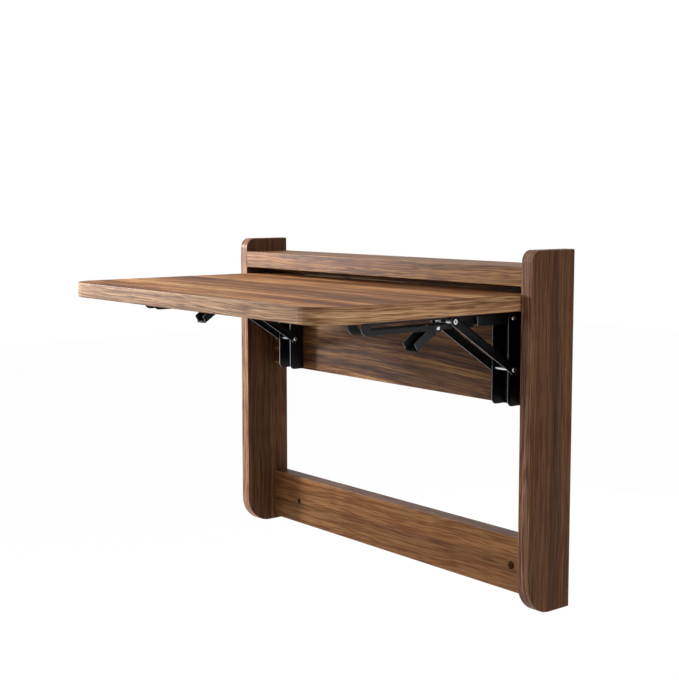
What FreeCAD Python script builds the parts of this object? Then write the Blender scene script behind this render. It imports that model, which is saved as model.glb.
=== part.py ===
import FreeCAD, Part
import math
import os
import re

import Sketcher
from FreeCAD import Placement, Rotation, Vector

# Fold-down wall table, in millimetres.
# X runs along the wall to the right, Y runs into the wall and Z runs up.
# The origin lies on the wall, midway between the two upper wall screws.

doc = FreeCAD.newDocument("wall_table")

# Sizes of the frame
SIZES = {
    "frame_width": 635,
    "frame_height": 470,
    "frame_depth": 80,
    "upright_thickness": 18,
    "upright_top_round": 15,
    "upright_foot_round": 42,
    "upright_rise": 21,
    "top_rail_height": 25,
    "panel_thickness": 25,
    "panel_height": 163,
    "bottom_rail_height": 76,
    "foot_gap": 5,
    "board_arris": 1,
    # Sizes of the tabletop
    "tabletop_depth": 360,
    "tabletop_thickness": 21,
    "tabletop_side_gap": 1,
    "tabletop_back_gap": 15,
    "tabletop_headroom": 10,
    "tabletop_corner_round": 42,
    # Sizes of the wall screw holes
    "upper_screw_drop": 21,
    "lower_screw_rise": 36,
    "wall_screw_radius": 2.6,
    "wall_screw_recess_radius": 6,
    "wall_screw_recess_depth": 15,
    # Sizes of the hidden frame fixings
    "dowel_radius": 4,
    "dowel_length": 30,
    "dowel_inset": 16,
    "cam_radius": 7.5,
    "cam_height": 13,
    "cam_setback": 24,
    "cam_bolt_radius": 3.5,
    "cam_bolt_bite": 11,
    "blind_hole_depth": 12,
    "fixing_gap": 0.1,
    # Sizes of the bracket's place and steel
    "bracket_inset": 80.5,
    "steel_thickness": 1.5,
    "bend_round": 1,
    "nesting_gap": 0.3,
    "running_gap": 0.05,
    "plate_width": 30,
    "plate_lip": 7,
    "plate_headroom": 8.5,
    "plate_foot_rise": 1,
    "plate_top_round": 8,
    "plate_foot_round": 8,
    # Sizes of the arm under the tabletop
    "arm_pivot_reach": 17,
    "arm_pivot_drop": 14,
    "arm_reach": 259,
    "arm_skirt": 7.5,
    "arm_tail": 7.5,
    "arm_nose_round": 10,
    "arm_ear_radius": 5.5,
    "slot_rise": 2,
    "slot_end_setback": 18,
    "slot_play": 0.3,
    "notch_gap": 0.7,
    # Sizes of the brace
    "brace_pivot_drop": 68,
    "pin_rest_reach": 110,
    "brace_half_height": 6,
    "brace_eye_radius": 6.5,
    "brace_thickness": 2,
    "brace_side_gap": 1.7,
    # Sizes of the rivets and the sliding pin
    "pivot_radius": 3,
    "pivot_head_rim": 0.8,
    "pivot_head_height": 1.4,
    "washer_rim": 1.8,
    "washer_gap": 0.1,
    "pin_collar_rim": 0.7,
    "pin_collar_height": 1.1,
    "stud_radius": 2.4,
    "stud_bore_radius": 1.1,
    "stud_inset": 0.9,
    "lever_rivet_radius": 2.2,
    "lever_rivet_head_rim": 0.7,
    "lever_rivet_head_height": 1.2,
    # Sizes of the release lever
    "lever_pivot_reach": 134,
    "lever_pivot_drop": 5,
    "lever_tilt": 33,
    "lever_length": 41.5,
    "lever_tab": 2.5,
    "lever_above": 6,
    "lever_shoulder": 12,
    "lever_tip_round": 2,
    "lever_web_start": 6.5,
    "lever_nose_length": 16,
    "lever_nose_height": 4.6,
    "lever_path_gap": 0.5,
    "lever_tab_round": 2,
    # Sizes of the torsion spring
    "spring_wire_radius": 0.45,
    "spring_play": 0.35,
    "spring_pitch": 1.5,
    "spring_turns": 5,
    "spring_leg": 12,
    # Sizes of the wood screws
    "screw_radius": 1.8,
    "screw_length": 14,
    "screw_head_radius": 3.6,
    "screw_head_height": 2,
    "screw_drive_radius": 1.1,
    "screw_drive_depth": 1.1,
    "plate_screw_inset": 12,
    "plate_screw_pivot_gap": 18,
    "arm_screw_reach": 40,
    "arm_screw_setback": 21,
    # One overrun serves every through cut
    "overrun": 5,
}

sheet = doc.addObject("Spreadsheet::Sheet", "Sizes")
for row, (alias, number) in enumerate(SIZES.items(), 1):
    sheet.set(f"A{row}", alias.replace("_", " "))
    sheet.set(f"B{row}", str(number))
    sheet.setAlias(f"B{row}", alias)
doc.recompute()


# Formulas of the places that several pieces share
INNER_WIDTH = "(frame_width - 2 * upright_thickness)"
RAIL_TOP = "(frame_height - upright_rise)"
RAIL_UNDERSIDE = "(frame_height - upright_rise - top_rail_height)"
PANEL_FOOT = f"({RAIL_UNDERSIDE} - panel_height)"
BOTTOM_RAIL_TOP = "(foot_gap + bottom_rail_height)"
UPPER_SCREW = f"({RAIL_UNDERSIDE} - upper_screw_drop)"
LOWER_SCREW = "(foot_gap + lower_screw_rise)"
TABLE_TOP = f"({RAIL_UNDERSIDE} - tabletop_headroom)"
TABLE_UNDERSIDE = f"({TABLE_TOP} - tabletop_thickness)"
PLATE_FOOT = f"({PANEL_FOOT} + plate_foot_rise)"
PLATE_HEIGHT = f"({TABLE_UNDERSIDE} - plate_headroom - {PLATE_FOOT})"
PLATE_DEPTH = "(arm_pivot_reach + slot_rise + plate_lip)"
ARM_PIVOT_Y = "-(panel_thickness + arm_pivot_reach)"
ARM_PIVOT_Z = f"({TABLE_UNDERSIDE} - arm_pivot_drop)"
BRACE_PIVOT_Y = "-(panel_thickness + arm_pivot_reach + slot_rise)"
BRACE_PIVOT_Z = f"({ARM_PIVOT_Z} - brace_pivot_drop)"
BRACE_RUN = "(pin_rest_reach - slot_rise)"
BRACE_CLIMB = "(brace_pivot_drop + slot_rise)"
BRACE_LENGTH = f"sqrt({BRACE_RUN} * {BRACE_RUN} + {BRACE_CLIMB} * {BRACE_CLIMB})"
BRACE_TILT = f"atan({BRACE_CLIMB} / {BRACE_RUN})"
PLATE_HALF = "plate_width / 2"
PLATE_HALF_INSIDE = "(plate_width / 2 - steel_thickness)"
ARM_WIDTH = "(plate_width - 2 * steel_thickness - 2 * nesting_gap)"
ARM_INSIDE = f"({ARM_WIDTH} - 2 * steel_thickness)"
LEVER_WIDTH = f"({ARM_INSIDE} - 2 * nesting_gap)"
LEVER_INSIDE = f"({LEVER_WIDTH} - 2 * steel_thickness)"
SPRING_RADIUS = "(lever_rivet_radius + spring_wire_radius + spring_play)"
LEVER_FLOOR = f"({SPRING_RADIUS} + spring_wire_radius + running_gap)"
LEVER_BELOW = f"({LEVER_FLOOR} + steel_thickness)"
LEVER_TOP = "(lever_pivot_drop + slot_rise - pivot_radius - lever_path_gap)"
LEVER_NOSE_DROP = f"((lever_nose_length * sin(lever_tilt) - {LEVER_TOP}) / cos(lever_tilt))"
PIVOT_HEAD = "(pivot_radius + pivot_head_rim)"
WASHER = "(pivot_radius + washer_rim)"
PIN_COLLAR = "(pivot_radius + pin_collar_rim)"
LEVER_RIVET_HEAD = "(lever_rivet_radius + lever_rivet_head_rim)"
SLOT_END = "(arm_reach - slot_end_setback)"
BRACE_INSIDE = "(plate_width / 2 + brace_side_gap)"
BRACE_OUTSIDE = f"({BRACE_INSIDE} + brace_thickness)"
SIDES = {
    "left": "(bracket_inset - frame_width / 2)",
    "right": "(frame_width / 2 - bracket_inset)",
}
PLATE_SCREWS = (
    "plate_screw_inset",
    f"({BRACE_PIVOT_Z} + plate_screw_pivot_gap - {PLATE_FOOT})",
    f"({ARM_PIVOT_Z} - plate_screw_pivot_gap - {PLATE_FOOT})",
)
ARM_SCREWS = (
    "arm_screw_reach",
    "((arm_screw_reach + arm_reach - arm_screw_setback) / 2)",
    "(arm_reach - arm_screw_setback)",
)

pieces = []


def in_sheet(formula):
    """Point every size name in a formula at its cell."""
    return re.sub(r"[a-z_]{3,}", lambda word: f"Sizes.{word[0]}" if word[0] in SIZES else word[0],
                  formula)


def bind(thing, field, formula):
    """Let a formula of the sheet's sizes drive one property."""
    thing.setExpression(field, in_sheet(formula))


def size(alias):
    """Read one size as a number."""
    return float(sheet.get(alias))


def new_body(label, x="0", y="0", z="0", tilt=None):
    """Start a body whose origin stands at x, y and z above the uprights' feet."""
    body = doc.addObject("PartDesign::Body", label)
    body.Label = label
    if tilt:
        body.Placement = Placement(Vector(), Rotation(Vector(1, 0, 0), 1))
        bind(body, "Placement.Rotation.Angle", tilt)
    bind(body, "Placement.Base.x", x)
    bind(body, "Placement.Base.y", y)
    bind(body, "Placement.Base.z", f"{z} - {UPPER_SCREW}")
    return body


def new_sketch(body, plane, level="0"):
    """Open a sketch on one of the body's own planes, raised along its normal."""
    sketch = body.newObject("Sketcher::SketchObject", "sketch")
    support = [item for item in body.Origin.OriginFeatures if item.Role == plane][0]
    sketch.AttachmentSupport = [(support, "")]
    sketch.MapMode = "FlatFace"
    bind(sketch, "AttachmentOffset.Base.z", level)
    return sketch


def hold(sketch, kind, index, spot, formula):
    """Tie one coordinate of a sketch point to a formula."""
    row = sketch.addConstraint(Sketcher.Constraint(kind, -1, 1, index, spot, 1.0))
    bind(sketch, f"Constraints[{row}]", formula)


def outline(body, plane, corners, level="0"):
    """Draw a closed outline of straight lines through corners given as formulas."""
    sketch = new_sketch(body, plane, level)
    turn = 2 * math.pi / len(corners)
    spots = [Vector(math.cos(step * turn), math.sin(step * turn), 0) for step in range(len(corners))]
    for step, spot in enumerate(spots):
        sketch.addGeometry(Part.LineSegment(spot, spots[(step + 1) % len(spots)]), False)
    for step in range(len(corners)):
        following = (step + 1) % len(corners)
        sketch.addConstraint(Sketcher.Constraint("Coincident", step, 2, following, 1))
    for step, (across, up) in enumerate(corners):
        hold(sketch, "DistanceX", step, 1, across)
        hold(sketch, "DistanceY", step, 1, up)
    return sketch


def rectangle(body, plane, left, right, foot, top, level="0"):
    """Draw a rectangle between two pairs of formulas."""
    return outline(body, plane, [(left, foot), (right, foot), (right, top), (left, top)], level)


def discs(body, plane, circles, level="0"):
    """Draw circles, each given as centre and radius formulas."""
    sketch = new_sketch(body, plane, level)
    for step, (across, up, radius) in enumerate(circles):
        sketch.addGeometry(Part.Circle(Vector(), Vector(0, 0, 1), 1), False)
        row = sketch.addConstraint(Sketcher.Constraint("Radius", step, 1.0))
        bind(sketch, f"Constraints[{row}]", radius)
        hold(sketch, "DistanceX", step, 3, across)
        hold(sketch, "DistanceY", step, 3, up)
    return sketch


def pad(body, sketch, width):
    """Thicken a sketch equally to both sides."""
    feature = body.newObject("PartDesign::Pad", "pad")
    feature.Profile = sketch
    feature.SideType = "Symmetric"
    bind(feature, "Length", width)
    doc.recompute()
    return feature


def pocket(body, sketch, width):
    """Cut a sketch equally to both sides and check that it took something away."""
    before = body.Shape.Volume
    feature = body.newObject("PartDesign::Pocket", "pocket")
    feature.Profile = sketch
    feature.SideType = "Symmetric"
    bind(feature, "Length", width)
    doc.recompute()
    if not body.Shape.Volume < before:
        raise ValueError(f"{body.Label}: a cut took nothing away")
    return feature


def corner_edges(body, along, directions):
    """Name the straight edges along one of the body's axes that lie furthest each way."""
    lines = []
    for number, edge in enumerate(body.Tip.Shape.Edges, 1):
        if edge.Curve.TypeId == "Part::GeomLine" and abs(edge.Curve.Direction.dot(along)) > 0.999:
            lines.append((f"Edge{number}", edge.CenterOfMass))
    names = []
    for direction in directions:
        reach = max(centre.dot(direction) for name, centre in lines)
        names += [name for name, centre in lines if centre.dot(direction) > reach - 1e-6]
    return sorted(set(names))


def round_over(body, edges, radius):
    """Round the named edges of the body's latest shape."""
    base = body.Tip
    feature = body.newObject("PartDesign::Fillet", "round_over")
    feature.Base = (base, edges)
    bind(feature, "Radius", radius)
    doc.recompute()
    return feature


def round_all(body, radius):
    """Take the sharpness off every edge of a board."""
    edges = [f"Edge{number}" for number in range(1, len(body.Shape.Edges) + 1)]
    return round_over(body, edges, radius)


def turned(body, steps):
    """Turn a stepped profile, given as distance and radius formulas, about the body's X axis."""
    sketch = outline(body, "XY_Plane", steps)
    feature = body.newObject("PartDesign::Revolution", "turned")
    feature.Profile = sketch
    feature.ReferenceAxis = (sketch, ["H_Axis"])
    feature.Angle = 360
    doc.recompute()
    return feature


X_AXIS = Vector(1, 0, 0)
Y_AXIS = Vector(0, 1, 0)
Z_AXIS = Vector(0, 0, 1)
FRONT_TOP = Vector(0, -1, 1)
FRONT_FOOT = Vector(0, -1, -1)
BACK_TOP = Vector(0, 1, 1)
BACK_FOOT = Vector(0, 1, -1)

# Heights and depths of the dowels and cam bolts at each rail end
FIXINGS = {
    "top_rail": {
        "dowels": [
            ("-dowel_inset", f"{RAIL_TOP} - top_rail_height / 2"),
            ("dowel_inset - frame_depth", f"{RAIL_TOP} - top_rail_height / 2"),
        ],
        "bolt": ("-frame_depth / 2", f"{RAIL_TOP} - top_rail_height / 2"),
    },
    "back_panel": {
        "dowels": [
            ("-panel_thickness / 2", f"{RAIL_UNDERSIDE} - dowel_inset"),
            ("-panel_thickness / 2", f"{PANEL_FOOT} + dowel_inset"),
        ],
        "bolt": ("-panel_thickness / 2", f"{PANEL_FOOT} + panel_height / 2"),
    },
    "bottom_rail": {
        "dowels": [
            ("-panel_thickness / 2", f"{BOTTOM_RAIL_TOP} - dowel_inset"),
            ("-panel_thickness / 2", "foot_gap + dowel_inset"),
        ],
        "bolt": ("-panel_thickness / 2", "foot_gap + bottom_rail_height / 2"),
    },
}


def make_upright(side, sign):
    """One upright: a board on edge with two rounded front corners and blind holes inside."""
    middle = f"{sign} * (frame_width - upright_thickness) / 2"
    body = new_body(f"{side}_upright", x=middle)
    board = rectangle(body, "YZ_Plane", "-frame_depth", "0", "0", "frame_height")
    pad(body, board, "upright_thickness")
    round_over(body, corner_edges(body, X_AXIS, [FRONT_TOP]), "upright_top_round")
    round_over(body, corner_edges(body, X_AXIS, [FRONT_FOOT]), "upright_foot_round")
    round_all(body, "board_arris")
    inner_face = f"-({sign}) * upright_thickness / 2"
    for fixing in FIXINGS.values():
        dowels = [(y, z, "dowel_radius + fixing_gap") for y, z in fixing["dowels"]]
        pocket(body, discs(body, "YZ_Plane", dowels, inner_face), "2 * blind_hole_depth")
        bolt = [(*fixing["bolt"], "cam_bolt_radius + fixing_gap")]
        pocket(body, discs(body, "YZ_Plane", bolt, inner_face), "2 * cam_bolt_bite")
    pieces.append(body)


def make_rail(label, depth, foot, top, cam_plane, cam_level):
    """A board between the uprights, with dowel, cam bolt and cam holes at both ends."""
    body = new_body(label)
    board = rectangle(body, "YZ_Plane", f"-{depth}", "0", foot, top)
    pad(body, board, INNER_WIDTH)
    long_edges = corner_edges(body, X_AXIS, [FRONT_TOP, FRONT_FOOT, BACK_TOP, BACK_FOOT])
    round_over(body, long_edges, "board_arris")
    fixing = FIXINGS[label]
    for sign in ("-1", "1"):
        end = f"{sign} * {INNER_WIDTH} / 2"
        dowels = [(y, z, "dowel_radius + fixing_gap") for y, z in fixing["dowels"]]
        depth_here = "2 * (dowel_length - blind_hole_depth + 2 * fixing_gap)"
        pocket(body, discs(body, "YZ_Plane", dowels, end), depth_here)
        bolt = [(*fixing["bolt"], "cam_bolt_radius + fixing_gap")]
        pocket(body, discs(body, "YZ_Plane", bolt, end), "2 * cam_setback")
        cam_middle = f"{sign} * ({INNER_WIDTH} / 2 - cam_setback)"
        across = fixing["bolt"][1] if cam_plane == "XZ_Plane" else fixing["bolt"][0]
        cam = [(cam_middle, across, "cam_radius + fixing_gap")]
        pocket(body, discs(body, cam_plane, cam, cam_level), "2 * cam_height")
    pieces.append(body)
    return body


def drill_wall_holes(body, height):
    """Two recessed holes for wall screws, one above or below each bracket."""
    holes = [(middle, height, "wall_screw_radius") for middle in SIDES.values()]
    pocket(body, discs(body, "XZ_Plane", holes), "2 * panel_thickness + overrun")
    recesses = [(middle, height, "wall_screw_recess_radius") for middle in SIDES.values()]
    front = discs(body, "XZ_Plane", recesses, "panel_thickness")
    pocket(body, front, "2 * wall_screw_recess_depth")


def drill_screw_pilots(body):
    """Holes in the panel's front face for the screws of both wall plates."""
    pilots = [(middle, f"{PLATE_FOOT} + {height}", "screw_radius")
              for middle in SIDES.values() for height in PLATE_SCREWS]
    front = discs(body, "XZ_Plane", pilots, "panel_thickness")
    pocket(body, front, "2 * (screw_length - steel_thickness)")


def make_tabletop():
    """The tabletop: one board with two rounded front corners and pilot holes below."""
    body = new_body("tabletop", z=TABLE_UNDERSIDE)
    half = f"({INNER_WIDTH} / 2 - tabletop_side_gap)"
    back = "-(panel_thickness + tabletop_back_gap)"
    board = rectangle(body, "XY_Plane", f"-{half}", half, f"{back} - tabletop_depth", back,
                      "tabletop_thickness / 2")
    pad(body, board, "tabletop_thickness")
    front_corners = corner_edges(body, Z_AXIS, [Vector(1, -1, 0), Vector(-1, -1, 0)])
    round_over(body, front_corners, "tabletop_corner_round")
    round_all(body, "board_arris")
    pilots = []
    for middle in SIDES.values():
        for reach in ARM_SCREWS:
            pilots.append((middle, f"{ARM_PIVOT_Y} - {reach}", "screw_radius"))
    pocket(body, discs(body, "XY_Plane", pilots), "2 * (screw_length - steel_thickness)")
    pieces.append(body)


def make_wall_plate(side, middle):
    """The bracket's upright channel, its web flat on the panel."""
    body = new_body(f"{side}_wall_plate", x=middle, y="-panel_thickness", z=PLATE_FOOT)
    side_view = rectangle(body, "YZ_Plane", f"-{PLATE_DEPTH}", "0", "0", PLATE_HEIGHT)
    pad(body, side_view, "plate_width")
    round_over(body, corner_edges(body, X_AXIS, [FRONT_TOP]), "plate_top_round")
    round_over(body, corner_edges(body, X_AXIS, [FRONT_FOOT]), "plate_foot_round")
    bends = corner_edges(body, Z_AXIS, [Vector(1, 1, 0), Vector(-1, 1, 0)])
    round_over(body, bends, "bend_round")
    inside = rectangle(body, "YZ_Plane", f"-({PLATE_DEPTH} + overrun)", "-steel_thickness",
                       "-overrun", f"{PLATE_HEIGHT} + overrun")
    pocket(body, inside, f"2 * {PLATE_HALF_INSIDE}")
    pivots = [
        ("-arm_pivot_reach", f"{ARM_PIVOT_Z} - {PLATE_FOOT}", "pivot_radius"),
        ("-(arm_pivot_reach + slot_rise)", f"{BRACE_PIVOT_Z} - {PLATE_FOOT}", "pivot_radius"),
    ]
    pocket(body, discs(body, "YZ_Plane", pivots), "plate_width + overrun")
    screws = [("0", height, "screw_radius + fixing_gap") for height in PLATE_SCREWS]
    pocket(body, discs(body, "XZ_Plane", screws, "steel_thickness"), "2 * steel_thickness")
    pieces.append(body)


def make_arm(side, middle):
    """The channel under the tabletop, slotted for the sliding pin."""
    body = new_body(f"{side}_support_arm", x=middle, y=ARM_PIVOT_Y, z=ARM_PIVOT_Z)
    side_view = rectangle(body, "YZ_Plane", "-arm_reach", "arm_tail", "-arm_skirt", "arm_pivot_drop")
    pad(body, side_view, ARM_WIDTH)
    round_over(body, corner_edges(body, X_AXIS, [FRONT_FOOT]), "arm_nose_round")
    round_over(body, corner_edges(body, X_AXIS, [BACK_FOOT]), "arm_tail - fixing_gap")
    bends = corner_edges(body, Y_AXIS, [Vector(1, 0, 1), Vector(-1, 0, 1)])
    round_over(body, bends, "bend_round")
    ear = discs(body, "YZ_Plane", [("-lever_pivot_reach", "-lever_pivot_drop", "arm_ear_radius")])
    pad(body, ear, ARM_WIDTH)
    inside = rectangle(body, "YZ_Plane", "-(arm_reach + overrun)", "arm_tail + overrun",
                       "-(arm_skirt + overrun)", "arm_pivot_drop - steel_thickness")
    pocket(body, inside, ARM_INSIDE)
    slot_half = "(pivot_radius + running_gap)"
    slot_start = "-(pin_rest_reach - slot_play)"
    slot = rectangle(body, "YZ_Plane", f"-{SLOT_END}", slot_start,
                     f"slot_rise - {slot_half}", f"slot_rise + {slot_half}")
    pocket(body, slot, "plate_width")
    ends = [(slot_start, "slot_rise", slot_half), (f"-{SLOT_END}", "slot_rise", slot_half)]
    pocket(body, discs(body, "YZ_Plane", ends[:1]), "plate_width")
    pocket(body, discs(body, "YZ_Plane", ends[1:]), "plate_width")
    holes = [
        ("0", "0", "pivot_radius + running_gap"),
        ("-lever_pivot_reach", "-lever_pivot_drop", "lever_rivet_radius"),
    ]
    pocket(body, discs(body, "YZ_Plane", holes), "plate_width")
    notch_half = "(pivot_radius + notch_gap)"
    notch = rectangle(body, "YZ_Plane", f"-(brace_pivot_drop + {notch_half})",
                      f"-(brace_pivot_drop - {notch_half})", "-(arm_skirt + overrun)", "slot_rise")
    pocket(body, notch, "plate_width")
    notch_end = discs(body, "YZ_Plane", [("-brace_pivot_drop", "slot_rise", notch_half)])
    pocket(body, notch_end, "plate_width")
    screws = [("0", f"-{reach}", "screw_radius + fixing_gap") for reach in ARM_SCREWS]
    pocket(body, discs(body, "XY_Plane", screws, "arm_pivot_drop"), "3 * steel_thickness")
    pieces.append(body)


def make_brace_bar(side, middle, name, sign):
    """One of the two flat bars that prop the arm, drawn along -Y and tilted up."""
    centre = f"{middle} + {sign} * ({BRACE_INSIDE} + brace_thickness / 2)"
    body = new_body(f"{side}_brace_{name}_bar", centre, BRACE_PIVOT_Y, BRACE_PIVOT_Z,
                    tilt=f"-{BRACE_TILT}")
    bar = rectangle(body, "YZ_Plane", f"-{BRACE_LENGTH}", "0",
                    "-brace_half_height", "brace_half_height")
    pad(body, bar, "brace_thickness")
    eyes = [("0", "0"), (f"-{BRACE_LENGTH}", "0")]
    for y, z in eyes:
        pad(body, discs(body, "YZ_Plane", [(y, z, "brace_eye_radius")]), "brace_thickness")
    holes = [(*eyes[0], "pivot_radius + running_gap"), (*eyes[1], "stud_radius")]
    pocket(body, discs(body, "YZ_Plane", holes), "2 * brace_thickness")
    pieces.append(body)


def make_lever(side, middle):
    """The release lever: a small channel with a nose behind its pivot and a finger tab."""
    body = new_body(f"{side}_release_lever", middle, f"{ARM_PIVOT_Y} - lever_pivot_reach",
                    f"{ARM_PIVOT_Z} - lever_pivot_drop", tilt="lever_tilt")
    cheeks = outline(body, "YZ_Plane", [
        ("-lever_length", f"-{LEVER_BELOW}"),
        ("0", f"-{LEVER_BELOW}"),
        ("lever_nose_length", f"-({LEVER_NOSE_DROP} + lever_nose_height)"),
        ("lever_nose_length", f"-{LEVER_NOSE_DROP}"),
        ("0", LEVER_TOP),
        ("-lever_shoulder", "lever_above"),
        ("-lever_length", "lever_above"),
    ])
    pad(body, cheeks, LEVER_WIDTH)
    round_over(body, corner_edges(body, X_AXIS, [FRONT_TOP]), "lever_tip_round")
    pad(body, discs(body, "YZ_Plane", [("0", "0", LEVER_TOP)]), LEVER_WIDTH)
    past_front = "-(lever_length + overrun)"
    past_nose = "(lever_nose_length + overrun)"
    under_nose = f"-({LEVER_NOSE_DROP} + lever_nose_height + overrun)"
    inside = outline(body, "YZ_Plane", [
        (past_front, f"-{LEVER_FLOOR}"),
        ("-lever_web_start", f"-{LEVER_FLOOR}"),
        ("-lever_web_start", under_nose),
        (past_nose, under_nose),
        (past_nose, "lever_above + overrun"),
        (past_front, "lever_above + overrun"),
    ])
    pocket(body, inside, LEVER_INSIDE)
    tab = rectangle(body, "XY_Plane", f"-{LEVER_WIDTH} / 2", f"{LEVER_WIDTH} / 2",
                    "-(lever_length + lever_tab)", "-lever_web_start",
                    f"steel_thickness / 2 - {LEVER_BELOW}")
    pad(body, tab, "steel_thickness")
    tip = corner_edges(body, Z_AXIS, [Vector(1, -1, 0), Vector(-1, -1, 0)])
    round_over(body, tip, "lever_tab_round")
    pivot = [("0", "0", "lever_rivet_radius + running_gap")]
    pocket(body, discs(body, "YZ_Plane", pivot), "plate_width")
    pieces.append(body)


def make_arm_rivet(side, middle):
    """The headed pivot that hangs the arm in the wall plate."""
    body = new_body(f"{side}_arm_pivot_rivet", middle, ARM_PIVOT_Y, ARM_PIVOT_Z)
    turned(body, [
        (f"-{PLATE_HALF} - pivot_head_height", "0"),
        (f"-{PLATE_HALF} - pivot_head_height", "pivot_radius"),
        (f"-{PLATE_HALF}", PIVOT_HEAD),
        (f"-{PLATE_HALF}", "pivot_radius"),
        (PLATE_HALF, "pivot_radius"),
        (PLATE_HALF, PIVOT_HEAD),
        (f"{PLATE_HALF} + pivot_head_height", "pivot_radius"),
        (f"{PLATE_HALF} + pivot_head_height", "0"),
    ])
    pieces.append(body)


def make_brace_rivet(side, middle):
    """The long pivot of the brace, with a washer step between the plate and each bar."""
    body = new_body(f"{side}_brace_pivot_rivet", middle, BRACE_PIVOT_Y, BRACE_PIVOT_Z)
    washer_end = f"({BRACE_INSIDE} - washer_gap)"
    head_start = f"({BRACE_OUTSIDE} + washer_gap)"
    turned(body, [
        (f"-{head_start} - pivot_head_height", "0"),
        (f"-{head_start} - pivot_head_height", "pivot_radius"),
        (f"-{head_start}", PIVOT_HEAD),
        (f"-{head_start}", "pivot_radius"),
        (f"-{washer_end}", "pivot_radius"),
        (f"-{washer_end}", WASHER),
        (f"-{PLATE_HALF}", WASHER),
        (f"-{PLATE_HALF}", "pivot_radius"),
        (PLATE_HALF, "pivot_radius"),
        (PLATE_HALF, WASHER),
        (washer_end, WASHER),
        (washer_end, "pivot_radius"),
        (head_start, "pivot_radius"),
        (head_start, PIVOT_HEAD),
        (f"{head_start} + pivot_head_height", "pivot_radius"),
        (f"{head_start} + pivot_head_height", "0"),
    ])
    pieces.append(body)


def make_slide_pin(side, middle):
    """The pin that runs in the arm's slots, with a collar outside each flange."""
    body = new_body(f"{side}_slide_pin", middle, f"{ARM_PIVOT_Y} - pin_rest_reach",
                    f"{ARM_PIVOT_Z} + slot_rise")
    collar_start = f"({ARM_WIDTH} / 2 + washer_gap)"
    collar_end = f"({collar_start} + pin_collar_height)"
    turned(body, [
        (f"-{collar_end}", "0"),
        (f"-{collar_end}", PIN_COLLAR),
        (f"-{collar_start}", PIN_COLLAR),
        (f"-{collar_start}", "pivot_radius"),
        (collar_start, "pivot_radius"),
        (collar_start, PIN_COLLAR),
        (collar_end, PIN_COLLAR),
        (collar_end, "0"),
    ])
    pieces.append(body)


def make_brace_studs(side, middle):
    """The hollow rivets at the top of the two bars, in line with the sliding pin at rest."""
    body = new_body(f"{side}_brace_studs", middle, f"{ARM_PIVOT_Y} - pin_rest_reach",
                    f"{ARM_PIVOT_Z} + slot_rise")
    body.AllowCompound = True
    inner_end = f"({BRACE_INSIDE} - stud_inset)"
    outer_end = f"({BRACE_OUTSIDE} + pivot_head_height)"
    for sign in ("-1", "1"):
        shank = discs(body, "YZ_Plane", [("0", "0", "stud_radius")],
                      f"{sign} * ({inner_end} + {outer_end}) / 2")
        pad(body, shank, f"{outer_end} - {inner_end}")
        head = discs(body, "YZ_Plane", [("0", "0", PIVOT_HEAD)],
                     f"{sign} * ({BRACE_OUTSIDE} + {outer_end}) / 2")
        pad(body, head, "pivot_head_height")
    bore = discs(body, "YZ_Plane", [("0", "0", "stud_bore_radius")])
    pocket(body, bore, f"2 * {outer_end} + overrun")
    pieces.append(body)


def make_lever_rivet(side, middle):
    """The rivet that carries the release lever in the arm's ears."""
    body = new_body(f"{side}_lever_rivet", middle, f"{ARM_PIVOT_Y} - lever_pivot_reach",
                    f"{ARM_PIVOT_Z} - lever_pivot_drop")
    half = f"({ARM_WIDTH} / 2)"
    turned(body, [
        (f"-{half} - lever_rivet_head_height", "0"),
        (f"-{half} - lever_rivet_head_height", "lever_rivet_radius"),
        (f"-{half}", LEVER_RIVET_HEAD),
        (f"-{half}", "lever_rivet_radius"),
        (half, "lever_rivet_radius"),
        (half, LEVER_RIVET_HEAD),
        (f"{half} + lever_rivet_head_height", "lever_rivet_radius"),
        (f"{half} + lever_rivet_head_height", "0"),
    ])
    pieces.append(body)


def biarc(start, start_way, end, end_way):
    """Join two points by two arcs that leave and arrive along the given directions."""
    chord = end - start
    ways = start_way + end_way
    turn = 2 * (1 - start_way.dot(end_way))
    reach = (math.sqrt(chord.dot(ways) ** 2 + turn * chord.dot(chord)) - chord.dot(ways)) / turn
    first_corner = start + start_way * reach
    last_corner = end - end_way * reach
    joint = (first_corner + last_corner) * 0.5
    arcs = []
    for near, corner, far in ((start, first_corner, joint), (joint, last_corner, end)):
        middle = (near + far) * 0.5
        half_chord = near.distanceToPoint(far) / 2
        rise = corner - middle
        sagitta = half_chord * math.tan(math.atan2(rise.Length, half_chord) / 2)
        arcs.append(Part.Arc(near, middle + rise.normalize() * sagitta, far).toShape())
    return arcs


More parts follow.
